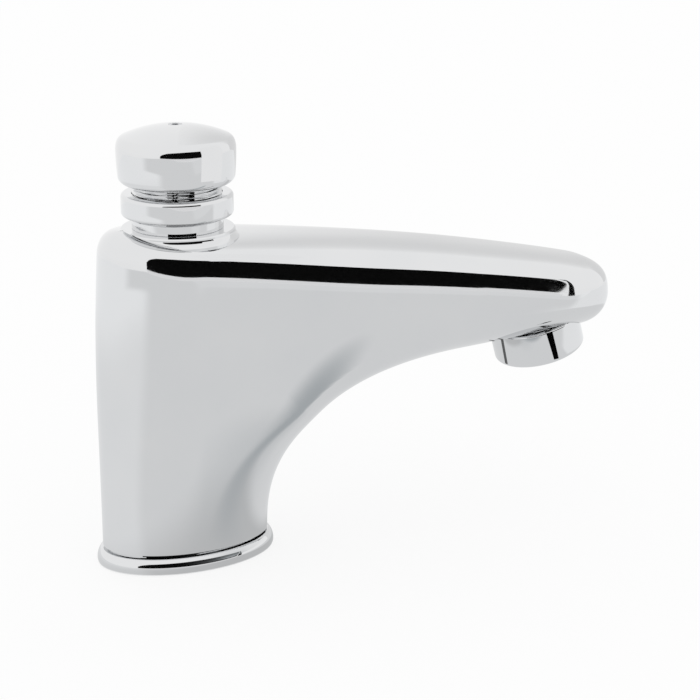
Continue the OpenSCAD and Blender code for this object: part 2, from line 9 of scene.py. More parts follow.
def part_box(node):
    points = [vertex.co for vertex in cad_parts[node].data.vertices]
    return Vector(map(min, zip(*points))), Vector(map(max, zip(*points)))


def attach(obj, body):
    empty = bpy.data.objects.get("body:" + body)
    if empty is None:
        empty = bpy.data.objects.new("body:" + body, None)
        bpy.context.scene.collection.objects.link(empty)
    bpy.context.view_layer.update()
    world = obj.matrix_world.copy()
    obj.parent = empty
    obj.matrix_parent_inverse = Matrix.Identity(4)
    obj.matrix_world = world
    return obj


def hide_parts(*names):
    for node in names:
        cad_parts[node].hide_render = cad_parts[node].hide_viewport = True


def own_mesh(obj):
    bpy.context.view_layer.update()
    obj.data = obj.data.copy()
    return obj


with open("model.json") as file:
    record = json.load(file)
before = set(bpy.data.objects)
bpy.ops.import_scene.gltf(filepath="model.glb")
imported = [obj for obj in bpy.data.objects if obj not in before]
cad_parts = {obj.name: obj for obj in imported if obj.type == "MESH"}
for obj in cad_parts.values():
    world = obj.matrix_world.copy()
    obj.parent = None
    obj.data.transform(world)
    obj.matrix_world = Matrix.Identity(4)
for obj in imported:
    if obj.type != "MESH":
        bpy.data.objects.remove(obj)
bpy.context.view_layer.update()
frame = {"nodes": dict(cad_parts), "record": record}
MM = 0.001

# Casting, in millimetres
FOOT_A = 26.5
FOOT_B = 16.2
FOOT_Z = 5.0
GROOVE_D = 1.3
GROOVE_H = 0.4
SEAT_Z = 103.8
TIP_X = 148.4
SHOULDER_B = 21.2
THROAT_B = 19.55
NOSE_B = 16.95
UNDER_H = 55.6
UNDER_SLOPE = 0.043
RIDGE_Z = SEAT_Z - 1.1
RIDGE_SLOPE = 0.0826
RIDGE_DROP = 0.00055
RIDGE_BEND = -1.3
HEEL_R = 7.0
THROAT_X = 0.621 * TIP_X
NOSE_X = TIP_X - 12.25
NOSE_SIDE_X = TIP_X - 23.45
NOSE_TIP_Z = UNDER_H + 15.0
NOSE_POWER = 2.51
NOSE_SIDE_POWER = 2.28
BOSS_ROUND = 4.55
SPOUT_ROUND = 9.15
BOSS_ROUND_X = -30.0
SPOUT_ROUND_X = 63.0
BELLY_ROUND = 10.6
CROWN_POWER = 2.8
BELLY_POWER = 2.1
BELLY_BARREL = 0.06
LEAN_CURVE = 0.0292
LEAN_L = 6.45
REAR_BOW = 0.00075
REAR_BOW_Z = 45.0
BOW_END_X = 20.0
BOW_FADE_L = 45.0
SHOULDER_T = 0.45
BELLY_T = 0.5
BARREL_T = 0.4
GROOVE_TOP_T = 0.0045
SWEEP_LIFT = 35.0
SWEEP_RUN = 44.7
SWEEP_LEAN = -0.6
LEAST_Y = 0.01

# Steps of the casting's rings, and sides of the round pieces
SIDE_N = 72
COLUMN_N = 190
SPOUT_N = 14
NOSE_N = 56
ROUND_N = 224
OUTLET_N = 192
HEAD_BORE_N = 160
SLEEVE_N = 144
CUTTER_N = 128

# Lengths along the outer rail: rear wall, heel and crest
RIDGE_ANGLE = math.atan(RIDGE_SLOPE)
HEEL_X = HEEL_R - FOOT_A
HEEL_Z = RIDGE_Z - RIDGE_SLOPE * HEEL_X - HEEL_R / math.cos(RIDGE_ANGLE)
CREST_X = HEEL_X + HEEL_R * math.sin(RIDGE_ANGLE)
WALL_L = HEEL_Z - FOOT_Z
BEND_L = HEEL_R * (math.pi / 2 + RIDGE_ANGLE)
CREST_L = (THROAT_X - CREST_X) / math.cos(RIDGE_ANGLE)
RAIL_L = WALL_L + BEND_L + CREST_L

# Head, foot and outlet, in millimetres
BOSS_R = 17.05
BOSS_EDGE = 0.4
BOSS_FILLET = 2.6
BOSS_L = 22.0
BOSS_ROOT_R = BOSS_R - 1.0
BOSS_ROOT_Z = SEAT_Z - 4.3
BOSS_STEP_R = BOSS_R + 1.15
BOSS_STEP_Z = SEAT_Z - 3.6
FILLET_Z = SEAT_Z - 0.6
FILLET_START = 236
NECK_R = 13.6
NECK_H = 3.8
NECK_TOP = SEAT_Z + NECK_H
RING_R = 16.65
RING_H = 6.7
RING_ROUND = 1.1
RING_TOP = NECK_TOP + RING_H
LIP_Z = RING_TOP + 2.9
CAP_R = 17.7
CAP_H = 17.2
THREAD_R = 13.4
THREAD_DEPTH = 0.5
THREAD_PITCH = 1.0
THREAD_FADE = 0.6
SLEEVE_TOP = LIP_Z + 2.4
SHANK_R = 12.0
LINER_TOP = SEAT_Z - 17.8
LINER_Z = LINER_TOP - 36.0
CHAMBER_Z = LINER_Z - 16.0
POCKET_Z = CHAMBER_Z - 3.0
POCKET_A = FOOT_A - 4.0
POCKET_B = FOOT_B - 4.0
PLINTH_A = FOOT_A + 1.8
PLINTH_B = FOOT_B + 2.45
PLINTH_Z = 0.3
PLINTH_H = FOOT_Z - PLINTH_Z
LOW_EDGE_R = 0.3
LOW_TURN = 12.0
TOP_EDGE_R = 1.0
TOP_TURN = 36.0
GASKET_T = 1.5
GASKET_SEAT = 2.5
SHEET_GAP = 0.2
OUTLET_X = TIP_X - 25.67
OUTLET_Z = UNDER_H + 4.9
OUTLET_TILT = math.radians(15.3)
COLLAR_R = 14.85
COLLAR_L = 11.4
SPIGOT_R = 12.0
SPIGOT_L = 6.0

# Bores of the casting, in millimetres
CUT_OVER = 1.0
FIT_GAP = 0.05
HEAD_CLEAR = 10.0
SEAL_SEAT_R = SHANK_R + 1.2
SEAL_SEAT_Z = SEAT_Z - 1.3
LINER_R = 11.5
CHAMBER_R = 10.0
INLET_WAY_R = 3.9
STRAINER_R = 4.3
STRAINER_TOP = FOOT_Z + 14.0
INLET_R = 4.5
INLET_TOP = FOOT_Z + 13.0
INLET_PILLAR_R = 7.5
STUD_X = 17.5
STUD_R = 3.4
STUD_L = 18.0
STUD_PILLAR_R = 5.5
WATER_R = 8.0
WATER_Z = LINER_Z + 12.0
WATER_L = OUTLET_X - 2.0
WATER_RISE = 3.4
OUTLET_BOSS_R = SPIGOT_R + 1.0
OUTLET_BOSS_H = 4.0
OUTLET_BORE_R = SPIGOT_R - 3.0
OUTLET_BORE_L = 14.0
COLLAR_GAP = 0.3
COLLAR_CLEAR = 8.0
SPIGOT_WAY_L = SPIGOT_L + 1.65

# Return spring, in millimetres
SPRING_R = 5.2
SPRING_WIRE = 0.6
SPRING_TURNS = 5


def clamp(v, lo, hi):
    return min(hi, max(lo, v))


def mix(a, b, s):
    return a + (b - a) * s


def ease(v):
    s = clamp(v, 0.0, 1.0)
    return s * s * (3 - 2 * s)


def steps(a, b, n):
    return [mix(a, b, k / n) for k in range(n + 1)]


# Rails and sections of the casting

def ridge(x):
    return RIDGE_Z - RIDGE_SLOPE * x - RIDGE_DROP * max(0.0, x - RIDGE_BEND) ** 2


def under(x):
    return UNDER_H + UNDER_SLOPE * (x - THROAT_X)


def bowed(x, z):
    return x + REAR_BOW * max(0.0, z - REAR_BOW_Z) ** 2 * clamp((BOW_END_X - x) / BOW_FADE_L, 0, 1)


def rail(t):
    s = t * RAIL_L
    if s <= WALL_L:
        x = -FOOT_A
        z = FOOT_Z + s
    elif s <= WALL_L + BEND_L:
        a = math.pi - (s - WALL_L) / HEEL_R
        x = HEEL_X + HEEL_R * math.cos(a)
        z = HEEL_Z + HEEL_R * math.sin(a)
    else:
        x = mix(CREST_X, THROAT_X, (s - WALL_L - BEND_L) / CREST_L)
        z = ridge(x)
    return Vector((bowed(x, z), z))


def rear(z):
    d = clamp(z - HEEL_Z, 0, HEEL_R)
    return bowed(HEEL_X - math.sqrt(HEEL_R ** 2 - d ** 2), z)


def sweep(t):
    a = Vector((FOOT_A, FOOT_Z))
    b = Vector((FOOT_A + SWEEP_LEAN, FOOT_Z + SWEEP_LIFT))
    c = Vector((THROAT_X - SWEEP_RUN, UNDER_H - UNDER_SLOPE * SWEEP_RUN))
    d = Vector((THROAT_X, UNDER_H))
    u = 1 - t
    return u ** 3 * a + 3 * u * u * t * b + 3 * u * t * t * c + t ** 3 * d


def rounded(v, p):
    return (1 - (1 - clamp(v, 0, 1)) ** p) ** (1 / p)


def crown_round(x):
    return mix(BOSS_ROUND, SPOUT_ROUND, ease((x - BOSS_ROUND_X) / (SPOUT_ROUND_X - BOSS_ROUND_X)))


def crown(w, x, depth):
    r = crown_round(x)
    lean = LEAN_CURVE / 2 * max(0.0, r + LEAN_L - depth) ** 2
    return (w - lean) * rounded(depth / r, CROWN_POWER)


def ring_points(o, i, half_width):
    half = []
    for k in range(SIDE_N + 1):
        h = (1 + math.cos(math.pi * k / SIDE_N)) / 2
        p = i + (o - i) * h
        y = 0 if k in (0, SIDE_N) else max(LEAST_Y, half_width(p.x, p.y, h))
        half.append((p.x, -y, p.y))
    return half + [(x, -y, z) for x, y, z in half[-2:0:-1]]


def column_ring(t):
    o = rail(t)
    i = sweep(t)
    length = (o - i).length
    if t < SHOULDER_T:
        w = mix(FOOT_B, SHOULDER_B, ease(t / SHOULDER_T))
    else:
        w = mix(SHOULDER_B, THROAT_B, (t - SHOULDER_T) / (1 - SHOULDER_T))
    belly = min(mix(FOOT_A, BELLY_ROUND, ease(t / BELLY_T)), length / 2)
    belly_power = mix(2, BELLY_POWER, ease(t / BARREL_T))
    barrel = BELLY_BARREL * ease(t / BARREL_T)

    def half_width(x, z, h):
        depth = max(0.0, ridge(x) - z)
        end = math.sqrt(max(0.0, 1 - clamp(x / rear(z), 0, 1) ** 2)) if x < 0 else 1.0
        low = rounded(h * length / belly, belly_power) * (1 - barrel * max(0.0, 1 - 2 * h) ** 2)
        return crown(w, x, depth) * end * low

    return ring_points(o, i, half_width)


def nose(x, start, p):
    return max(0.0, 1 - clamp((x - start) / (TIP_X - start), 0, 1) ** p) ** (1 / p)


def spout_ring(x):
    g = nose(x, NOSE_X, NOSE_POWER)
    s = clamp((x - NOSE_X) / (TIP_X - NOSE_X), 0, 1)
    axis = mix((ridge(NOSE_X) + under(NOSE_X)) / 2, NOSE_TIP_Z, s)
    w = mix(THROAT_B, NOSE_B, clamp((x - THROAT_X) / (NOSE_X - THROAT_X), 0, 1))
    side = nose(x, NOSE_SIDE_X, NOSE_SIDE_POWER)
    o = Vector((x, mix(axis, ridge(x), g)))
    i = Vector((x, mix(axis, under(x), g)))
    length = (o - i).length

    def half_width(px, _z, h):
        depth = (1 - h) * length / g
        barrel = 1 - BELLY_BARREL * max(0.0, 1 - 2 * h) ** 2
        low = rounded(h * length / g / BELLY_ROUND, BELLY_POWER) * barrel
        return crown(w, px, depth) * side * low

    return ring_points(o, i, half_width)


# Mesh builders

def mesh_object(name, verts, faces):
    mesh = bpy.data.meshes.new(name)
    mesh.from_pydata([tuple(c * MM for c in v) for v in verts], [], faces)
    bm = bmesh.new()
    bm.from_mesh(mesh)
    bmesh.ops.remove_doubles(bm, verts=bm.verts, dist=1e-7)
    bmesh.ops.recalc_face_normals(bm, faces=bm.faces)
    bm.to_mesh(mesh)
    bm.free()
    obj = bpy.data.objects.new(name, mesh)
    bpy.context.scene.collection.objects.link(obj)
    return obj


def skin(name, rings, tip=None, loop=False):
    n = len(rings[0])
    verts = [p for ring in rings for p in ring]
    faces = []
    for j in range(len(rings) if loop else len(rings) - 1):
        a = j * n
        b = (j + 1) % len(rings) * n
        for k in range(n):
            m = (k + 1) % n
            faces.append((a + k, b + k, b + m, a + m))
    last = (len(rings) - 1) * n
    if not loop:
        faces.append(tuple(range(n)))
    if tip is not None:
        verts.append(tip)
        for k in range(n):
            faces.append((last + k, len(verts) - 1, last + (k + 1) % n))
    elif not loop:
        faces.append(tuple(range(last, last + n)))
    return mesh_object(name, verts, faces)


def oval(a, b, z, n=ROUND_N):
    return [(a * math.cos(2 * math.pi * k / n), b * math.sin(2 * math.pi * k / n), z) for k in range(n)]


def circle(r, z, n):
    return oval(r, r, z, n)


def lathe(name, profile, n, loop=True):
    return skin(name, [circle(r, z, n) for r, z in profile], loop=loop)


def arc(cr, cz, r, a, b, n):
    return [(cr + r * math.cos(math.radians(q)), cz + r * math.sin(math.radians(q))) for q in steps(a, b, n)]


def boolean(obj, cutter, operation):
    mod = obj.modifiers.new("cut", "BOOLEAN")
    mod.operation = operation
    mod.solver = "MANIFOLD"
    mod.object = cutter
    bpy.context.view_layer.update()
    depsgraph = bpy.context.evaluated_depsgraph_get()
    result = bpy.data.meshes.new_from_object(obj.evaluated_get(depsgraph))
    obj.modifiers.remove(mod)
    old = obj.data
    obj.data = result
    bpy.data.meshes.remove(old)
    used = cutter.data
    bpy.data.objects.remove(cutter)
    bpy.data.meshes.remove(used)


def smooth(obj, degrees):
    obj.data.shade_smooth()
    obj.data.set_sharp_from_angle(angle=math.radians(degrees))


def at_outlet(obj):
    turn = Matrix.Rotation(-OUTLET_TILT, 4, "Y")
    obj.data.transform(Matrix.Translation((OUTLET_X * MM, 0, OUTLET_Z * MM)) @ turn)
    return obj


def moved(obj, x, y, z):
    obj.data.transform(Matrix.Translation((x * MM, y * MM, z * MM)))
    return obj


def cylinder(name, r, low, high):
    return lathe(name, [(r, low), (r, high)], CUTTER_N, loop=False)


# Pieces

def body_rings():
    rings = []
    for z in (FOOT_Z, FOOT_Z + GROOVE_H):
        ring = column_ring(0)
        rings.append([(x * (1 - GROOVE_D / FOOT_A), y * (1 - GROOVE_D / FOOT_B), z) for x, y, _ in ring])
    rings += [column_ring(t) for t in steps(GROOVE_TOP_T, 1, COLUMN_N)]
    rings += [spout_ring(x) for x in steps(THROAT_X, NOSE_SIDE_X, SPOUT_N)[1:]]
    for k in range(1, NOSE_N):
        rings.append(spout_ring(mix(NOSE_SIDE_X, TIP_X, math.sin(math.pi / 2 * k / NOSE_N))))
    return rings


def add_bosses(body):
    boss = [(BOSS_ROOT_R, SEAT_Z - BOSS_L), (BOSS_ROOT_R, BOSS_ROOT_Z), (BOSS_STEP_R, BOSS_STEP_Z)]
    boss += arc(BOSS_R + BOSS_FILLET, FILLET_Z, BOSS_FILLET, FILLET_START, 180, 14)
    boss += [(BOSS_R, SEAT_Z - BOSS_EDGE), (BOSS_R - BOSS_EDGE, SEAT_Z)]
    boolean(body, lathe("boss", boss, ROUND_N, loop=False), "UNION")
    boolean(body, at_outlet(cylinder("outlet_boss", OUTLET_BOSS_R, 0, OUTLET_BOSS_H)), "UNION")


def cut_head(body):
    shank_way = SHANK_R + FIT_GAP
    bore = [(BOSS_R, SEAT_Z + HEAD_CLEAR), (BOSS_R, SEAT_Z)]
    bore += [(SEAL_SEAT_R, SEAT_Z), (SEAL_SEAT_R, SEAL_SEAT_Z)]
    bore += [(shank_way, SEAL_SEAT_Z), (shank_way, LINER_TOP)]
    bore += [(LINER_R, LINER_TOP), (LINER_R, LINER_Z)]
    bore += [(CHAMBER_R, LINER_Z), (CHAMBER_R, CHAMBER_Z)]
    bore += [(INLET_WAY_R, CHAMBER_Z), (INLET_WAY_R, STRAINER_TOP)]
    bore += [(STRAINER_R, STRAINER_TOP), (STRAINER_R, INLET_TOP)]
    bore += [(INLET_R, INLET_TOP), (INLET_R, FOOT_Z - CUT_OVER)]
    boolean(body, lathe("head_cut", bore, HEAD_BORE_N, loop=False), "DIFFERENCE")


def cut_foot(body):
    low = FOOT_Z - CUT_OVER
    pocket = skin("pocket", [oval(POCKET_A, POCKET_B, low), oval(POCKET_A, POCKET_B, POCKET_Z)])
    for x, r in ((-STUD_X, STUD_PILLAR_R), (0, INLET_PILLAR_R), (STUD_X, STUD_PILLAR_R)):
        boolean(pocket, moved(cylinder("pillar", r, 0, POCKET_Z + CUT_OVER), x, 0, 0), "DIFFERENCE")
    boolean(body, pocket, "DIFFERENCE")
    for x in (-STUD_X, STUD_X):
        boolean(body, moved(cylinder("stud", STUD_R, low, FOOT_Z + STUD_L), x, 0, 0), "DIFFERENCE")


def cut_outlet(body):
    water = cylinder("water", WATER_R, 0, WATER_L)
    water.data.transform(Matrix.Rotation(math.radians(90 - WATER_RISE), 4, "Y"))
    boolean(body, moved(water, 0, 0, WATER_Z), "DIFFERENCE")
    collar_way = COLLAR_R + COLLAR_GAP
    spigot_way = SPIGOT_R + FIT_GAP
    bore = [(collar_way, -COLLAR_CLEAR), (collar_way, 0), (spigot_way, 0), (spigot_way, SPIGOT_WAY_L)]
    bore += [(OUTLET_BORE_R, SPIGOT_WAY_L), (OUTLET_BORE_R, OUTLET_BORE_L)]
    boolean(body, at_outlet(lathe("outlet_cut", bore, OUTLET_N, loop=False)), "DIFFERENCE")


def make_body():
    body = skin("body_shell", body_rings(), tip=(TIP_X, 0, NOSE_TIP_Z))
    add_bosses(body)
    cut_head(body)
    cut_foot(body)
    cut_outlet(body)
    smooth(body, 32)
    return body


def make_plinth():
    low = math.sin(math.radians(LOW_TURN))
    top = math.sin(math.radians(TOP_TURN))
    foot = LOW_EDGE_R * (1 - low)
    r = (PLINTH_H - foot - TOP_EDGE_R * (1 - top)) / (low + top)
    mid = foot + r * low

    def edge(er, turn, a, b):
        q = math.radians(turn)
        return arc((r - er) * math.cos(q) - r, mid + (r - er) * math.sin(q), er, a, b, 10)

    side = edge(LOW_EDGE_R, -LOW_TURN, -90, -LOW_TURN)
    side += arc(-r, mid, r, -LOW_TURN, TOP_TURN, 20)[1:-1]
    side += edge(TOP_EDGE_R, TOP_TURN, TOP_TURN, 90)
    rings = [oval(PLINTH_A + s, PLINTH_B + s, PLINTH_Z + z) for s, z in side]
    rings.append(oval(POCKET_A, POCKET_B, FOOT_Z))
    rings.append(oval(POCKET_A, POCKET_B, GASKET_T))
    for z in (GASKET_T, PLINTH_Z):
        rings.append(oval(POCKET_A + GASKET_SEAT, POCKET_B + GASKET_SEAT, z))
    plinth = skin("plinth_shell", rings, loop=True)
    smooth(plinth, 35)
    return plinth


def make_cap():
    bore_r = 13.75
    roof_z = 8.8
    hub_r = 6.5
    hub_z = 0.3
    stem_r = 3.05
    stem_top = 10.3
    screw_r = 2.05
    lip_inset = 2.9
    lip_round = 2.55
    lip_end = -8.0
    barrel_curve = 0.0066
    barrel_z = 9.8
    bevel_z = CAP_H - 7.06
    bevel_round = 6.6
    bevel_end = 20.0
    shoulder_round = 2.65
    shoulder_end = 67.4
    dome_r = 40.0
    turn = math.radians(bevel_end)
    shoulder_r = CAP_R - bevel_round + (bevel_round - shoulder_round) * math.cos(turn)
    shoulder_z = bevel_z + (bevel_round - shoulder_round) * math.sin(turn)
    profile = [(bore_r, 0.0)]
    profile += arc(CAP_R - lip_inset, lip_round, lip_round, -90, lip_end, 12)
    low = lip_round * (1 + math.sin(math.radians(lip_end)))
    profile += [(CAP_R - barrel_curve * (z - barrel_z) ** 2, z) for z in steps(low, bevel_z, 22)[1:]]
    profile += arc(CAP_R - bevel_round, bevel_z, bevel_round, 0, bevel_end, 14)[1:]
    profile += arc(shoulder_r, shoulder_z, shoulder_round, bevel_end, shoulder_end, 16)[1:]
    edge = shoulder_r + shoulder_round * math.cos(math.radians(shoulder_end))
    dome_z = CAP_H - dome_r
    profile += [(r, dome_z + math.sqrt(dome_r ** 2 - r ** 2)) for r in steps(edge, screw_r, 16)[1:]]
    profile += [(screw_r, stem_top), (stem_r, stem_top), (stem_r, hub_z), (hub_r, hub_z)]
    profile += [(hub_r, roof_z), (bore_r, roof_z)]
    cap = lathe("cap_shell", [(r, z + LIP_Z) for r, z in profile], ROUND_N)
    smooth(cap, 30)
    return cap


def make_ring():
    inner = THREAD_R + FIT_GAP
    edge = RING_R - RING_ROUND
    profile = [(inner, 0.0)]
    profile += arc(edge, RING_ROUND, RING_ROUND, -90, 0, 10)
    profile += arc(edge, RING_H - RING_ROUND, RING_ROUND, 0, 90, 10)
    profile += [(inner, RING_H)]
    ring = lathe("lock_ring_shell", [(r, z + NECK_TOP) for r, z in profile], ROUND_N)
    smooth(ring, 30)
    return ring


def thread_radius(angle, z, low, high):
    turn = ((z - low) / THREAD_PITCH - angle / (2 * math.pi)) % 1.0
    height = 1 - abs(2 * turn - 1)
    fade = min(ease((z - low) / THREAD_FADE), ease((high - z) / THREAD_FADE))
    return THREAD_R - THREAD_DEPTH + THREAD_DEPTH * height * fade


def make_sleeve():
    n = SLEEVE_N
    edge = 0.15
    undercut_z = NECK_TOP - 0.8
    undercut_r = NECK_R - 0.6
    bore_r = 10.0
    floor_z = LINER_TOP + 12.8
    stem_r = 3.4
    bush_r = 6.5
    bush_top = LINER_TOP + 10.8
    clip_r = 7.35
    clip_top = LINER_TOP + 2.0
    clip_low = LINER_TOP + 0.8
    outside = [(SHANK_R, LINER_TOP), (SHANK_R, SEAT_Z), (NECK_R - edge, SEAT_Z), (NECK_R, SEAT_Z + edge)]
    outside += [(NECK_R, undercut_z - edge), (NECK_R - edge, undercut_z), (undercut_r, undercut_z)]
    rings = [circle(r, z, n) for r, z in outside]
    for z in steps(NECK_TOP, SLEEVE_TOP, 96):
        ring = []
        for k in range(n):
            a = 2 * math.pi * k / n
            r = thread_radius(a, z, NECK_TOP, SLEEVE_TOP)
            ring.append((r * math.cos(a), r * math.sin(a), z))
        rings.append(ring)
    bore = [(bore_r, SLEEVE_TOP), (bore_r, floor_z)]
    bore += [(stem_r, floor_z), (stem_r, bush_top)]
    bore += [(bush_r, bush_top), (bush_r, clip_top)]
    bore += [(clip_r, clip_top), (clip_r, clip_low)]
    bore += [(bush_r, clip_low), (bush_r, LINER_TOP)]
    rings += [circle(r, z, n) for r, z in bore]
    sleeve = skin("sleeve_shell", rings, loop=True)
    smooth(sleeve, 35)
    return sleeve


def make_collar():
    low_round = 1.4
    top_round = 0.7
    bore_r = 10.1
    insert_r = 11.15
    insert_low = 1.5 - COLLAR_L
    insert_top = -1.9
    profile = [(bore_r, -COLLAR_L)]
    profile += arc(COLLAR_R - low_round, low_round - COLLAR_L, low_round, -90, 0, 12)
    profile += [(COLLAR_R, -top_round)]
    profile += arc(COLLAR_R - top_round, -top_round, top_round, 0, 90, 8)[1:]
    profile += [(SPIGOT_R, 0), (SPIGOT_R, SPIGOT_L), (bore_r, SPIGOT_L), (bore_r, insert_top)]
    profile += [(insert_r, insert_top), (insert_r, insert_low), (bore_r, insert_low)]
    collar = at_outlet(lathe("collar_shell", profile, OUTLET_N))
    smooth(collar, 30)
    return collar


def make_spring():
    low, high = (corner[2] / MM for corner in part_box("return_spring"))
    turn_n = 48
    wire_n = 16
    rows = SPRING_TURNS * turn_n
    rings = []
    for k in range(rows + 1):
        turn = 2 * math.pi * k / turn_n
        middle = mix(low + SPRING_WIRE, high - SPRING_WIRE, k / rows)
        ring = []
        for w in range(wire_n):
            a = -2 * math.pi * w / wire_n
            r = SPRING_R + SPRING_WIRE * math.cos(a)
            ring.append((r * math.cos(turn), r * math.sin(turn), middle + SPRING_WIRE * math.sin(a)))
        rings.append(ring)
    spring = skin("spring_coil", rings)
    smooth(spring, 50)
    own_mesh(spring)
    return spring


# Materials

NOISE_LOW = 0.3
NOISE_HIGH = 0.7


class Nodes:
    def __init__(self, name):
        self.material = bpy.data.materials.new(name)
        self.material.use_nodes = True
        self.tree = self.material.node_tree
        self.shader = self.tree.nodes["Principled BSDF"]
        self.coord = self.add("ShaderNodeTexCoord")

    def add(self, kind, **inputs):
        node = self.tree.nodes.new(kind)
        for key, value in inputs.items():
            node.inputs[key].default_value = value
        return node

    def link(self, a, b):
        self.tree.links.new(a, b)

    def noise(self, scale, detail, stretch=(1, 1, 1)):
        mapping = self.add("ShaderNodeMapping", Scale=stretch)
        self.link(self.coord.outputs["Object"], mapping.inputs["Vector"])
        node = self.add("ShaderNodeTexNoise", Scale=scale, Detail=detail)
        self.link(mapping.outputs["Vector"], node.inputs["Vector"])
        return node.outputs["Fac"]

    def ramp(self, value, start, end, low, high):
        node = self.add("ShaderNodeMapRange")
        for key, number in (("From Min", start), ("From Max", end), ("To Min", low), ("To Max", high)):
            node.inputs[key].default_value = number
        self.link(value, node.inputs["Value"])
        return node

    def spread(self, value, low, high, target):
        node = self.ramp(value, NOISE_LOW, NOISE_HIGH, low, high)
        self.link(node.outputs["Result"], self.shader.inputs[target])

    def colours(self, value, low, high):
        node = self.add("ShaderNodeValToRGB")
        node.color_ramp.elements[0].position = NOISE_LOW
        node.color_ramp.elements[0].color = (*low, 1)
        node.color_ramp.elements[1].position = NOISE_HIGH
        node.color_ramp.elements[1].color = (*high, 1)
        self.link(value, node.inputs["Fac"])
        self.link(node.outputs["Color"], self.shader.inputs["Base Color"])

    def band(self, value, start, end, low, high):
        node = self.ramp(value, start, end, low, high)
        node.interpolation_type = "SMOOTHSTEP"
        return node.outputs["Result"]

    def show(self, surface):
        self.link(surface, self.tree.nodes["Material Output"].inputs["Surface"])
        self.tree.nodes.remove(self.shader)
        return self.material

    def math(self, operation, a, b):
        node = self.add("ShaderNodeMath")
        node.operation = operation
        self.link(a, node.inputs[0])
        if isinstance(b, float):
            node.inputs[1].default_value = b
        else:
            self.link(b, node.inputs[1])
        return node.outputs["Value"]

    def bump(self, value, strength, distance):
        node = self.add("ShaderNodeBump", Strength=strength, Distance=distance)
        self.link(value, node.inputs["Height"])
        self.link(node.outputs["Normal"], self.shader.inputs["Normal"])


def chrome_material():
    m = Nodes("polished_chrome")
    m.shader.inputs["Metallic"].default_value = 1.0
    m.colours(m.noise(45, 4), (0.745, 0.752, 0.762), (0.768, 0.772, 0.778))
    m.spread(m.noise(160, 6), 0.015, 0.05, "Roughness")
    return m.material


def steel_material():
    m = Nodes("plain_steel")
    m.shader.inputs["Metallic"].default_value = 1.0
    m.colours(m.noise(300, 4, (1, 1, 12)), (0.52, 0.53, 0.55), (0.66, 0.67, 0.69))
    m.spread(m.noise(500, 5, (1, 1, 14)), 0.2, 0.36, "Roughness")
    m.bump(m.noise(900, 3, (1, 1, 20)), 0.12, 0.0001)
    return m.material


def brass_material():
    m = Nodes("machined_brass")
    m.shader.inputs["Metallic"].default_value = 1.0
    m.colours(m.noise(250, 4, (1, 1, 10)), (0.66, 0.51, 0.24), (0.8, 0.66, 0.36))
    m.spread(m.noise(400, 4, (1, 1, 14)), 0.2, 0.38, "Roughness")
    m.bump(m.noise(1200, 2, (1, 1, 20)), 0.15, 0.0001)
    return m.material


def rubber_material():
    m = Nodes("black_rubber")
    m.colours(m.noise(400, 5), (0.028, 0.028, 0.03), (0.06, 0.06, 0.064))
    m.spread(m.noise(700, 3), 0.6, 0.85, "Roughness")
    m.bump(m.noise(1800, 4), 0.25, 0.0002)
    return m.material


def plastic_material():
    m = Nodes("moulded_plastic")
    m.colours(m.noise(120, 3), (0.8, 0.8, 0.755), (0.88, 0.88, 0.84))
    m.spread(m.noise(300, 4), 0.38, 0.55, "Roughness")
    m.bump(m.noise(1500, 3), 0.1, 0.0001)
    return m.material


# Stage, in metres and degrees

SHEET_X = (-0.75, 1.2)
SHEET_Y = (-0.6, 0.5)
SHEET_Z = 0.0004
SHEET_HOLE_N = 64
SHEET_GREY = 0.785
SHEET_TINT = (("Red", 0.992), ("Green", 1.0), ("Blue", 1.006))
FOOT_SHADE_AT = (0.024, -0.006, 0)
FOOT_SHADE_REACH = (0.075, 0.066, 1)
# Hovering cards of painted shadow, seen only in reflections: their slope, turn and dark grey
SOFT_SLOPE = 0.0875
SOFT_TURN = math.radians(-49.6)
PAINTED_SHADOW_GREY = (0.46, 0.485, 0.5, 1)
FLOOR_REACH = 6
FLOOR_GLOW = 0.8
SLIT_Y = -0.61
SLIT = ((-0.72, 0.034), (0.622, 0.034), (0.795, 0.377), (-0.45, 0.377), (-0.62, 0.31), (-0.72, 0.2))
SIDE_SLIT = ((0.634, 0.002), (0.757, 0.002), (0.838, 0.405), (0.822, 0.405))
SILL_Y = -0.612
SILL = ((-0.72, 0.0), (0.622, 0.0), (0.622, 0.034), (-0.72, 0.034))
BACK_Y = 0.35
BACK = ((0.14, 0.0), (1.6, 0.0), (1.6, 1.2), (0.14, 1.2))
COLLAR_BAR_Y = -0.0173
COLLAR_BAR = ((0.1181, 0.062), (0.1214, 0.062), (0.1255, 0.0485), (0.1232, 0.0485))
COLLAR_EDGE_LOW = ((0.1099, -0.002, 0.0444), (0.1101, -0.0004, 0.0442))
COLLAR_EDGE_TOP = ((0.1072, -0.0015, 0.0543), (0.1072, -0.0031, 0.0545))
HEAD_CARD_R = 0.048
HEAD_CARD_Z = (0.108, 0.165)
HEAD_CARD_TURN = (20, 62)
PLATE_TURN = 6

# Ramps of the sheet and the back card, which paint light and shade into their glow: start, end, value up to
# the start, value past the end
LEFT_SHIFT = (0.38, 0.46, 0.0, 0.085)
LEFT_SIDE = (0.335, 0.382, 1.0, 0.0)
LEFT_LIFT = (0.2, 0.38, 0.08, 0.185)
RIGHT_LIFT = (0.645, 0.667, 0.0, 0.16)
RIGHT_REACH = (0.27, 0.3, 0.0, 1.0)
FRONT_LIFT = (-0.39, -0.35, 0.05, 0.0)
FRONT_SIDE = (0.06, 0.14, 0.0, 1.0)
FOOT_SHADE = (0.0, 0.6, 0.0, -0.185)
FOOT_SHADE_END = (0.034, 0.044, 1.0, 0.0)
BACK_SHADE = (0.1, 0.3, 0.0, 0.19)
BACK_FADE = (0.3, 1.1, 1.0, 0.0)

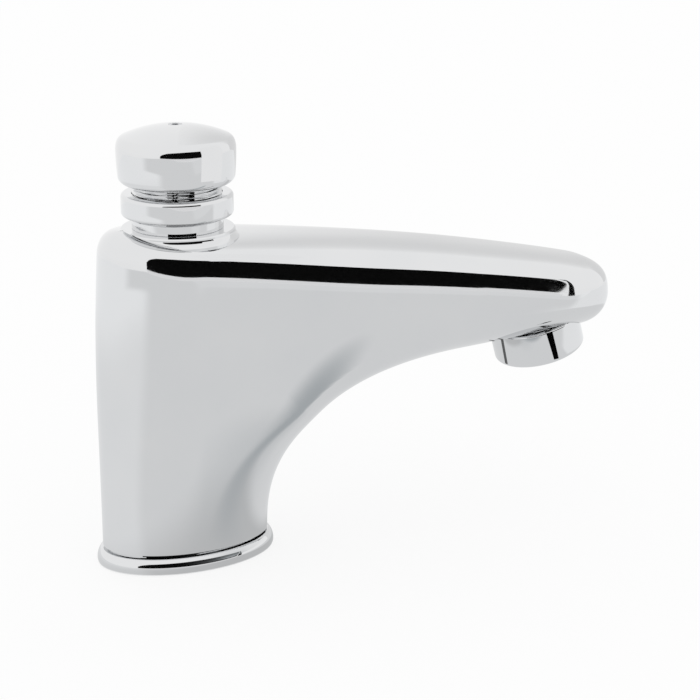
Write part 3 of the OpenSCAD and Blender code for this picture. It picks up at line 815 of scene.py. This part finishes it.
# Camera, solved from the photo
CAMERA_TURN = math.radians(-25.21)
CAMERA_PITCH = math.radians(17.18)
CAMERA_AT = (-0.1923, -0.5282, 0.23845)
CAMERA_LENS = 99.737
CAMERA_SENSOR = 36.0
CAMERA_CLIP = 0.01


def shade(name, colour, glow=0.0):
    m = Nodes(name)
    diffuse = m.add("ShaderNodeBsdfDiffuse", Color=(*colour, 1))
    light = m.add("ShaderNodeEmission", Color=(*colour, 1))
    blend = m.add("ShaderNodeMixShader", Fac=glow)
    m.link(diffuse.outputs["BSDF"], blend.inputs[1])
    m.link(light.outputs["Emission"], blend.inputs[2])
    return m.show(blend.outputs["Shader"])


def sheet_material():
    m = Nodes("grey_sheet")
    place = m.add("ShaderNodeSeparateXYZ")
    m.link(m.coord.outputs["Object"], place.inputs["Vector"])
    turned = m.add("ShaderNodeMapping", Rotation=(0, 0, math.radians(90)))
    m.link(m.coord.outputs["Object"], turned.inputs["Vector"])
    bearing = m.add("ShaderNodeTexGradient")
    bearing.gradient_type = "RADIAL"
    m.link(turned.outputs["Vector"], bearing.inputs["Vector"])
    distance = m.add("ShaderNodeVectorMath")
    distance.operation = "LENGTH"
    m.link(m.coord.outputs["Object"], distance.inputs[0])
    reach = distance.outputs["Value"]
    round_foot = bearing.outputs["Fac"]
    # Painted light: the sheet's grey is lifted to the left, to the right and towards the front
    left_side = m.band(m.math("ADD", round_foot, m.band(reach, *LEFT_SHIFT)), *LEFT_SIDE)
    left = m.math("MULTIPLY", left_side, m.band(reach, *LEFT_LIFT))
    right = m.math("MULTIPLY", m.band(round_foot, *RIGHT_LIFT), m.band(reach, *RIGHT_REACH))
    front_lift = m.band(place.outputs["Y"], *FRONT_LIFT)
    front = m.math("MULTIPLY", front_lift, m.band(place.outputs["X"], *FRONT_SIDE))
    # Painted shadow: a soft contact shadow of the tap around the foot, ending towards +x
    foot_at = m.add("ShaderNodeMapping", Location=FOOT_SHADE_AT, Scale=FOOT_SHADE_REACH)
    foot_at.vector_type = "TEXTURE"
    m.link(m.coord.outputs["Object"], foot_at.inputs["Vector"])
    foot = m.add("ShaderNodeTexGradient")
    foot.gradient_type = "SPHERICAL"
    m.link(foot_at.outputs["Vector"], foot.inputs["Vector"])
    shadow_end = m.band(place.outputs["X"], *FOOT_SHADE_END)
    shadow = m.math("MULTIPLY", m.band(foot.outputs["Fac"], *FOOT_SHADE), shadow_end)
    light = m.math("ADD", m.math("ADD", left, right), front)
    grey = m.math("ADD", m.math("ADD", shadow, light), SHEET_GREY)
    colour = m.add("ShaderNodeCombineColor")
    for channel, weight in SHEET_TINT:
        m.link(m.math("MULTIPLY", grey, weight), colour.inputs[channel])
    glow = m.add("ShaderNodeEmission")
    m.link(colour.outputs["Color"], glow.inputs["Color"])
    return m.show(glow.outputs["Emission"])


# A plate that fades from clear to a dark grey glow in a soft oval: a painted shadow of the tap on the floor,
# seen only in reflections
def painted_shadow_card_material(name, middle, reach, full, depth):
    m = Nodes(name)
    turn = (0, 0, SOFT_TURN)
    spot_at = m.add("ShaderNodeMapping", Location=(*middle, 0), Rotation=turn, Scale=(*reach, 1))
    spot_at.vector_type = "TEXTURE"
    place = m.add("ShaderNodeSeparateXYZ")
    flat = m.add("ShaderNodeCombineXYZ")
    m.link(m.coord.outputs["Object"], place.inputs["Vector"])
    m.link(place.outputs["X"], flat.inputs["X"])
    m.link(place.outputs["Y"], flat.inputs["Y"])
    m.link(flat.outputs["Vector"], spot_at.inputs["Vector"])
    spot = m.add("ShaderNodeTexGradient")
    spot.gradient_type = "SPHERICAL"
    m.link(spot_at.outputs["Vector"], spot.inputs["Vector"])
    clear = m.add("ShaderNodeBsdfTransparent")
    dark = m.add("ShaderNodeEmission", Color=PAINTED_SHADOW_GREY)
    blend = m.add("ShaderNodeMixShader")
    m.link(m.band(spot.outputs["Fac"], 0.0, full, 0.0, depth), blend.inputs["Fac"])
    m.link(clear.outputs["BSDF"], blend.inputs[1])
    m.link(dark.outputs["Emission"], blend.inputs[2])
    return m.show(blend.outputs["Shader"])


def back_card_material():
    m = Nodes("back_card")
    place = m.add("ShaderNodeSeparateXYZ")
    m.link(m.coord.outputs["Object"], place.inputs["Vector"])
    # Painted shade: the card's glow darkens towards +x, and the darkening fades out with height
    fade = m.band(place.outputs["Z"], *BACK_FADE)
    depth = m.math("MULTIPLY", m.band(place.outputs["X"], *BACK_SHADE), fade)
    level = m.add("ShaderNodeMath")
    level.operation = "SUBTRACT"
    level.inputs[0].default_value = 1.0
    m.link(depth, level.inputs[1])
    glow = m.add("ShaderNodeEmission")
    m.link(level.outputs["Value"], glow.inputs["Color"])
    return m.show(glow.outputs["Emission"])


def floor_material():
    m = Nodes("pale_floor")
    diffuse = m.add("ShaderNodeBsdfDiffuse", Color=(0.95, 0.95, 0.95, 1))
    white = m.add("ShaderNodeEmission", Color=(1, 1, 1, 1))
    seen = m.add("ShaderNodeMixShader", Fac=FLOOR_GLOW)
    m.link(diffuse.outputs["BSDF"], seen.inputs[1])
    m.link(white.outputs["Emission"], seen.inputs[2])
    rays = m.add("ShaderNodeLightPath").outputs
    mirrored = m.math("MAXIMUM", rays["Is Camera Ray"], rays["Is Glossy Ray"])
    blend = m.add("ShaderNodeMixShader")
    m.link(m.math("MAXIMUM", mirrored, rays["Is Transmission Ray"]), blend.inputs["Fac"])
    m.link(diffuse.outputs["BSDF"], blend.inputs[1])
    m.link(seen.outputs["Shader"], blend.inputs[2])
    return m.show(blend.outputs["Shader"])


def stage_object(name, verts, faces, material, card=True):
    mesh = bpy.data.meshes.new(name)
    mesh.from_pydata(verts, [], faces)
    obj = bpy.data.objects.new(name, mesh)
    bpy.context.scene.collection.objects.link(obj)
    mesh.materials.append(material)
    if card:
        obj.visible_camera = False
        obj.visible_diffuse = False
        obj.visible_shadow = False


def plate(name, corners, material, card=True):
    stage_object(name, corners, [tuple(range(len(corners)))], material, card)


def painted_shadow_card(name, middle, reach, full, depth):
    along = Vector((math.cos(SOFT_TURN), math.sin(SOFT_TURN), SOFT_SLOPE)) * reach[0]
    across = Vector((-math.sin(SOFT_TURN), math.cos(SOFT_TURN), 0)) * reach[1]
    centre = Vector(middle)
    corners = [centre + along * a + across * b for a, b in ((-1, -1), (1, -1), (1, 1), (-1, 1))]
    plate(name, corners, painted_shadow_card_material(name, middle[:2], reach, full, depth))


def upright(name, y, outline, material):
    plate(name, [(x, y, z) for x, z in outline], material)


def bearing_at(r, degrees, z):
    a = math.radians(degrees)
    return (r * math.sin(a), -r * math.cos(a), z)


def curved(name, r, turn, height, material):
    start, end = turn
    low, high = height
    for k, near in enumerate(range(start, end, PLATE_TURN)):
        far = near + PLATE_TURN
        corners = [bearing_at(r, q, z) for q, z in ((near, low), (far, low), (far, high), (near, high))]
        plate(name + str(k), corners, material)


def grey_sheet(name, material):
    (x0, x1), (y0, y1) = SHEET_X, SHEET_Y
    z = SHEET_Z
    verts = [(x0, y0, z), (x1, y0, z), (x1, y1, z), (x0, y1, z)]
    n = SHEET_HOLE_N
    first = -3 * math.pi / 4
    for k in range(n):
        a = 2 * math.pi * k / n + first
        x = (PLINTH_A + SHEET_GAP) * MM * math.cos(a)
        y = (PLINTH_B + SHEET_GAP) * MM * math.sin(a)
        verts.append((x, y, z))
    faces = []
    for side in range(4):
        start = side * n // 4
        ring = [4 + (start + k) % n for k in range(n // 4 + 1)]
        faces.append((side, (side + 1) % 4, *reversed(ring)))
    stage_object(name, verts, faces, material)


def make_stage():
    black = shade("black_card", (0.004, 0.004, 0.004))
    pale = shade("pale_card", (0.85, 0.85, 0.855), 1.0)
    dark = shade("dark_card", (0.13, 0.13, 0.13), 1.0)
    bright = shade("bright_card", (0.98, 0.98, 0.98), 1.0)
    r = FLOOR_REACH
    plate("floor", [(-r, -r, 0), (r, -r, 0), (r, r, 0), (-r, r, 0)], floor_material(), card=False)
    grey_sheet("grey_sheet", sheet_material())
    # Two hovering plates of painted shadow, under the spout and at the foot
    painted_shadow_card("painted_shadow_card", middle=(0.0615, -0.0796, 0.013), reach=(0.1, 0.0145), full=0.7, depth=1.0)
    painted_shadow_card("foot_painted_shadow_card", middle=(0.0365, -0.0503, 0.0101), reach=(0.06, 0.034), full=0.8, depth=0.35)
    upright("back_card", BACK_Y, BACK, back_card_material())
    upright("sill_card", SILL_Y, SILL, pale)
    upright("slit_card", SLIT_Y, SLIT, black)
    upright("side_slit_card", SLIT_Y, SIDE_SLIT, black)
    upright("collar_card", COLLAR_BAR_Y, COLLAR_BAR, black)
    plate("collar_edge_card", COLLAR_EDGE_TOP + COLLAR_EDGE_LOW, dark)
    curved("head_card", HEAD_CARD_R, HEAD_CARD_TURN, HEAD_CARD_Z, bright)
    world = bpy.data.worlds.new("tent")
    bpy.context.scene.world = world
    world.use_nodes = True
    background = world.node_tree.nodes["Background"]
    background.inputs["Color"].default_value = (1, 1, 1, 1)
    background.inputs["Strength"].default_value = 1.0


def make_camera():
    right = Vector((math.cos(CAMERA_TURN), math.sin(CAMERA_TURN), 0))
    level = Vector((-math.sin(CAMERA_TURN), math.cos(CAMERA_TURN), 0))
    forward = level * math.cos(CAMERA_PITCH) - Vector((0, 0, math.sin(CAMERA_PITCH)))
    up = right.cross(forward)
    data = bpy.data.cameras.new("camera")
    data.sensor_width = CAMERA_SENSOR
    data.lens = CAMERA_LENS
    data.clip_start = CAMERA_CLIP
    camera = bpy.data.objects.new("camera", data)
    bpy.context.scene.collection.objects.link(camera)
    place = Matrix((right, up, -forward)).transposed().to_4x4()
    place.translation = CAMERA_AT
    camera.matrix_world = place
    bpy.context.scene.camera = camera


def dress():
    finish = {
        "chrome": chrome_material(),
        "steel": steel_material(),
        "brass": brass_material(),
        "rubber": rubber_material(),
        "plastic": plastic_material(),
    }
    slots = {part["node"]: part["material_slot"] for part in frame["record"]["subparts"]}
    for name, slot in slots.items():
        node = frame["nodes"][name]
        node.data.materials.clear()
        node.data.materials.append(finish[slot])
        smooth(node, 30)
    pieces = (
        (make_body(), "body", "tap"),
        (make_plinth(), "base_plinth", "tap"),
        (make_cap(), "push_cap", "push"),
        (make_ring(), "lock_ring", "tap"),
        (make_sleeve(), "head_sleeve", "tap"),
        (make_collar(), "aerator_housing", "tap"),
        (make_spring(), "return_spring", "tap"),
    )
    for piece, node, body in pieces:
        piece.data.materials.clear()
        piece.data.materials.append(finish[slots[node]])
        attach(piece, body)
        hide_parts(node)


make_camera()
make_stage()
dress()
bpy.context.scene.view_settings.view_transform = "Standard"
